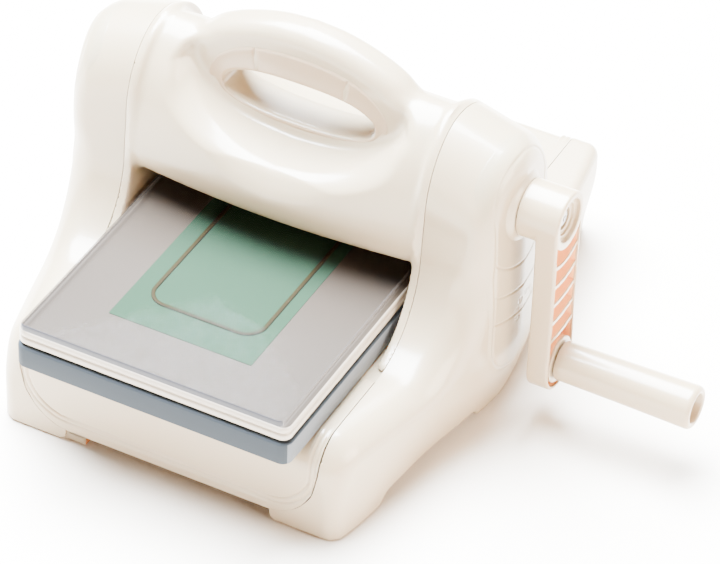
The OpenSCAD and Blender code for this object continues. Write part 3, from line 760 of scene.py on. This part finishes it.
def arm_outline_field(y, z, inset=0.0):
    """Distance to the outline of the arm, seen along its axis."""
    t = np.clip((z - GRIP_Z) / (CRANK_Z - GRIP_Z), 0, 1)
    half = 14.6 + 1.2 * (2 * t - 1) ** 2
    return np.hypot(y, z - (GRIP_Z - 2 + (CRANK_Z - GRIP_Z + 2) * t)) - half + inset


def crank_pocket(x, y, z):
    """Hollow of the arm's outer face, between hub and grip boss, with ribs that arch about the hub."""
    hub_r = np.hypot(y, z - CRANK_Z)
    f = np.maximum(arm_outline_field(y, z, 1.7), 16.4 - hub_r)
    f = np.maximum(f, 13.2 - np.hypot(y, z - GRIP_Z))
    f = np.maximum(f, CRANK_OUT - POCKET_DEEP - x)
    for k in range(RIBS):
        rib = np.abs(hub_r - RIB_FIRST - RIB_APART * k) - 1.0 - 0.10 * (CRANK_OUT - x)
        f = np.maximum(f, -np.maximum(rib, x - CRANK_OUT + 0.9))
    return f


def crank_field(x, y, z):
    """Hub and arm with the stepped well for the screw, two bores and the pocket."""
    hub_r = np.hypot(y, z - CRANK_Z)
    mid, half = (CRANK_IN + CRANK_OUT) / 2, (CRANK_OUT - CRANK_IN) / 2
    hub = round_and(hub_r - HUB_R, np.abs(x - mid) - half, 0.9)
    arm_mid, arm_half = (ARM_BACK + CRANK_OUT) / 2, (CRANK_OUT - ARM_BACK) / 2
    arm = round_and(arm_outline_field(y, z), np.abs(x - arm_mid) - arm_half, 1.3)
    f = s_min(hub, arm, 0.4 + 8 * (1 - step(z, 108, 122)) * (1 - step(x, 142, 148)))
    f = s_max(f, -s_max(hub_r - 12.2, CRANK_OUT - 2.2 - x, 0.6), 0.8)
    f = s_max(f, -s_max(hub_r - 9.0, CRANK_OUT - 3.4 - x, 0.5), 0.6)
    f = s_max(f, -np.maximum(hub_r - 6.2, CRANK_OUT - 8.2 - x), 0.6)
    f = np.maximum(f, 5.25 - hub_r)
    f = np.maximum(f, 4.4 - np.hypot(y, z - GRIP_Z))
    return s_max(f, -crank_pocket(x, y, z), 0.5)


lo = (CRANK_IN - 1.3, -18.2, GRIP_Z - 20.1)
hi = (CRANK_OUT + 1.3, 18.2, CRANK_Z + 18.1)
verts, quads = surface(crank_field, lo, hi, 0.65)
crank = make("crank_arm", verts, quads, IVORY, 38)
face = verts[quads].mean(1)
# Faces deep in the pocket, below the rib tops, get the peach painted glow and shade
painted_glow_faces = (crank_pocket(*face.T) < 0.9) & (face[:, 0] < CRANK_OUT - 1.6)
two_colours(crank, PAINTED_POCKET_GLOW, painted_glow_faces & (arm_outline_field(face[:, 1], face[:, 2]) < -1.0))


def spun(node, profile, axis, mat, n, smooth):
    """Solid of revolution about a line along X at axis; profile is a closed loop of (x, radius)."""
    verts = []
    for i in range(n):
        a = 2 * math.pi * i / n
        verts += [(x, axis[0] + r * math.cos(a), axis[1] + r * math.sin(a)) for x, r in profile]
    return make(node, verts, loop_faces(n, len(profile), closed=True), mat, smooth)


# The grip widens from its inner end to tip, turns in round its outer end and is hollow there
g0, g1 = cad("grip")[0][0], cad("grip")[1][0] - 0.15
tip = cad("grip")[1][2] - GRIP_Z - 0.1
profile = [(g0 + 0.1, 4.3), (g0 + 0.1, tip - 2.4), (g0 + 0.4, tip - 1.5), (g0 + 1.2, tip - 1.1)]
for t in np.linspace(0.04, 1, 24):
    profile.append((g0 + 1.2 + (g1 - g0 - 4.2) * t, tip - 1.1 + 1.1 * t**1.5))
for a in np.linspace(0.1, math.pi / 2, 9):
    profile.append((g1 - 3 + 3 * math.sin(a), tip - 2.2 * (1 - math.cos(a))))
profile += [(g1 - 0.2, tip - 3.4), (g1 - 0.9, tip - 4.0), (g0 + 12.2, tip - 4.3), (g0 + 12.0, 4.3)]
spun("grip", profile, (0, GRIP_Z), IVORY, 128, 45)


# ---- Lining of the finger hole, its blank badge and the panels on the towers ----


def oval(a, middle_z, rx, rz, px, pz):
    """Point at angle a on an oval whose sides are flattened by the powers px and pz."""
    ca, sa = math.cos(a), math.sin(a)
    return (rx * math.copysign(abs(ca) ** px, ca), middle_z + rz * math.copysign(abs(sa) ** pz, sa))


def ring_patch(node, angles, mat):
    """Part of the oval lining between the finger hole and its outer line, seen from the front."""
    rows, cols = 26, len(angles)
    t = np.linspace(0, 1, rows)
    pin = np.array([oval(a, 156.2, 45.6, 13.6, 0.75, 0.85) for a in angles])
    pout = np.array([oval(a, 156.4, 53.6, 29.8 if math.sin(a) > 0 else 19.6, 0.86, 0.92) for a in angles])
    flat_xz = pin[None] * (1 - t[:, None, None]) + pout[None] * t[:, None, None]
    width = np.linalg.norm(pout - pin, axis=1)[None]
    s = t[:, None] * width
    edge = np.minimum(s, width - s)
    along = np.concatenate([[0], np.cumsum(np.linalg.norm(np.diff((pin + pout) / 2, axis=0), axis=1))])
    edge = np.minimum(edge, np.minimum(along, along[-1] - along)[None])
    height = 0.75 * (1 - np.exp(-edge / 0.45)) - 0.45 * np.sin(np.pi * t[:, None])
    y = -9.75 - height
    outer = np.stack([flat_xz[..., 0], y, flat_xz[..., 1]], -1).reshape(-1, 3)
    inner = np.stack([flat_xz[..., 0], y * 0 - 9.2, flat_xz[..., 1]], -1).reshape(-1, 3)
    verts, faces = solid_sheet(outer, inner, rows, cols)
    make(node, verts, faces, mat)


left_end, right_end, gap = math.radians(116), math.radians(61), 0.004
# The lining and its badge get the darker, pinker painted-shade copy of the shell colour
ring_patch("handle_badge", np.linspace(right_end + gap, left_end - gap, 60), PAINTED_SHADE_LINING)
ring_patch("handle_insert", np.linspace(left_end + gap, right_end + 2 * math.pi - gap, 240), PAINTED_SHADE_LINING)

# A few plain round marks on the lower part of a panel
DOTS = [(9 * math.cos(a) + 3, 66 + 9 * math.sin(a)) for a in np.linspace(0.3, 3.6, 6)]
ARCS, ARC_FIRST, ARC_APART = 3, 35.5, 16.5


def side_panel(node, side):
    """Stadium-shaped panel on a tower's outer wall, with a groove, arcs about the crank axis and marks."""
    low, high, half, band_width = 56.2, 138.0, 27.0, 5.0
    reach = half + band_width
    turn = np.linspace(0.02, math.pi / 2, 56)
    straight = np.linspace(low, high, 134)[1:]
    z = np.concatenate([low - reach * np.cos(turn), straight, high + reach * np.sin(turn)])
    inside = np.clip(1 - (np.maximum(low - z, z - high) / reach) ** 2, 0, 1)
    width = np.where((z < low) | (z > high), reach * np.sqrt(inside), reach)
    width = np.maximum(width, 0.3)
    cols = 111
    y = width[:, None] * np.linspace(-1, 1, cols)
    zz = z[:, None] + 0 * y
    x = np.full(y.shape, 127.0)
    for _ in range(12):
        x = x - side_solid(x, y, zz)
    rim = half - np.hypot(y, np.maximum(band(zz, low, high), 0))
    r = np.hypot(y, zz - CRANK_Z)
    cut = groove_at(rim, 1, 0.55)
    for k in range(ARCS):
        arc = groove_at(r - ARC_FIRST - ARC_APART * k, 1, 0.5)
        cut = np.maximum(cut, arc * step(CRANK_Z - zz, 10, 12) * (rim > 0))
    for cy, cz in DOTS:
        cut = np.maximum(cut, groove_at(np.hypot(y - cy, zz - cz) - 1.4, 0.6, 0.4))
    lift = 0.62 * step(rim, -band_width + 0.4, -1.0) - 0.05 - 0.56 * cut
    outer = np.stack([x + lift, y, zz], -1).reshape(-1, 3) * (side, 1, 1)
    inner = np.stack([x - 0.8, y, zz], -1).reshape(-1, 3) * (side, 1, 1)
    verts, faces = solid_sheet(outer, inner, len(z), cols)
    make(node, verts, faces if side < 0 else faces[:, ::-1], CREAM, 50)


side_panel("right_side_panel", 1)
side_panel("left_side_panel", -1)


# ---- Camera, light and floor ----

AZIMUTH, ELEVATION, ROLL = math.radians(26.77), math.radians(39.65), math.radians(2.0)
TARGET = Vector((11.49, 46.49, 0.0)) * MM
DISTANCE = 2.3359
forward = Vector((
    -math.sin(AZIMUTH) * math.cos(ELEVATION), math.cos(AZIMUTH) * math.cos(ELEVATION), -math.sin(ELEVATION),
))
level = Vector((math.cos(AZIMUTH), math.sin(AZIMUTH), 0))
upright = level.cross(forward)
right = math.cos(ROLL) * level + math.sin(ROLL) * upright
up = -math.sin(ROLL) * level + math.cos(ROLL) * upright
cam_data = bpy.data.cameras.new("camera")
cam_data.lens = 210.5
cam_data.sensor_width = 36.0
cam_data.sensor_fit = "HORIZONTAL"
cam_data.clip_end = 20.0
camera = bpy.data.objects.new("camera", cam_data)
bpy.context.scene.collection.objects.link(camera)
turn = Matrix((right, up, -forward)).transposed().to_4x4()
camera.matrix_world = Matrix.Translation(TARGET - forward * DISTANCE) @ turn
bpy.context.scene.camera = camera


def area_light(name, place, aim, size, power, colour):
    data = bpy.data.lights.new(name, "AREA")
    data.shape = "RECTANGLE"
    data.size, data.size_y = size
    data.energy = power
    data.color = colour
    obj = bpy.data.objects.new(name, data)
    bpy.context.scene.collection.objects.link(obj)
    way = Vector(aim) - Vector(place)
    obj.matrix_world = Matrix.Translation(place) @ way.to_track_quat("-Z", "Y").to_matrix().to_4x4()


area_light("top_box", place=(-0.7, 0.42, 2.4), aim=(0, 0, 0.05), size=(2.2, 2.0), power=1800,
           colour=(0.86, 1.0, 1.15))
area_light("front_fill", place=(0.5, -2.2, 0.6), aim=(0, 0, 0.08), size=(1.6, 0.7), power=24,
           colour=(1.0, 0.84, 0.68))
area_light("side_fill", place=(2.6, -0.2, 1.0), aim=(0, 0, 0.08), size=(1.6, 1.2), power=180,
           colour=(1.0, 0.86, 0.72))

world = bpy.data.worlds.new("studio")
bpy.context.scene.world = world
world.use_nodes = True
background = world.node_tree.nodes["Background"]
background.inputs["Color"].default_value = (1, 0.68, 0.44, 1)
background.inputs["Strength"].default_value = 0.2

edge = 6.0
mesh = bpy.data.meshes.new("floor")
corners = [(-edge, -edge, 0), (edge, -edge, 0), (edge, edge, 0), (-edge, edge, 0)]
mesh.from_pydata(corners, [], [(0, 1, 2, 3)])
mesh.materials.append(FLOOR)
floor = bpy.data.objects.new("floor", mesh)
bpy.context.scene.collection.objects.link(floor)
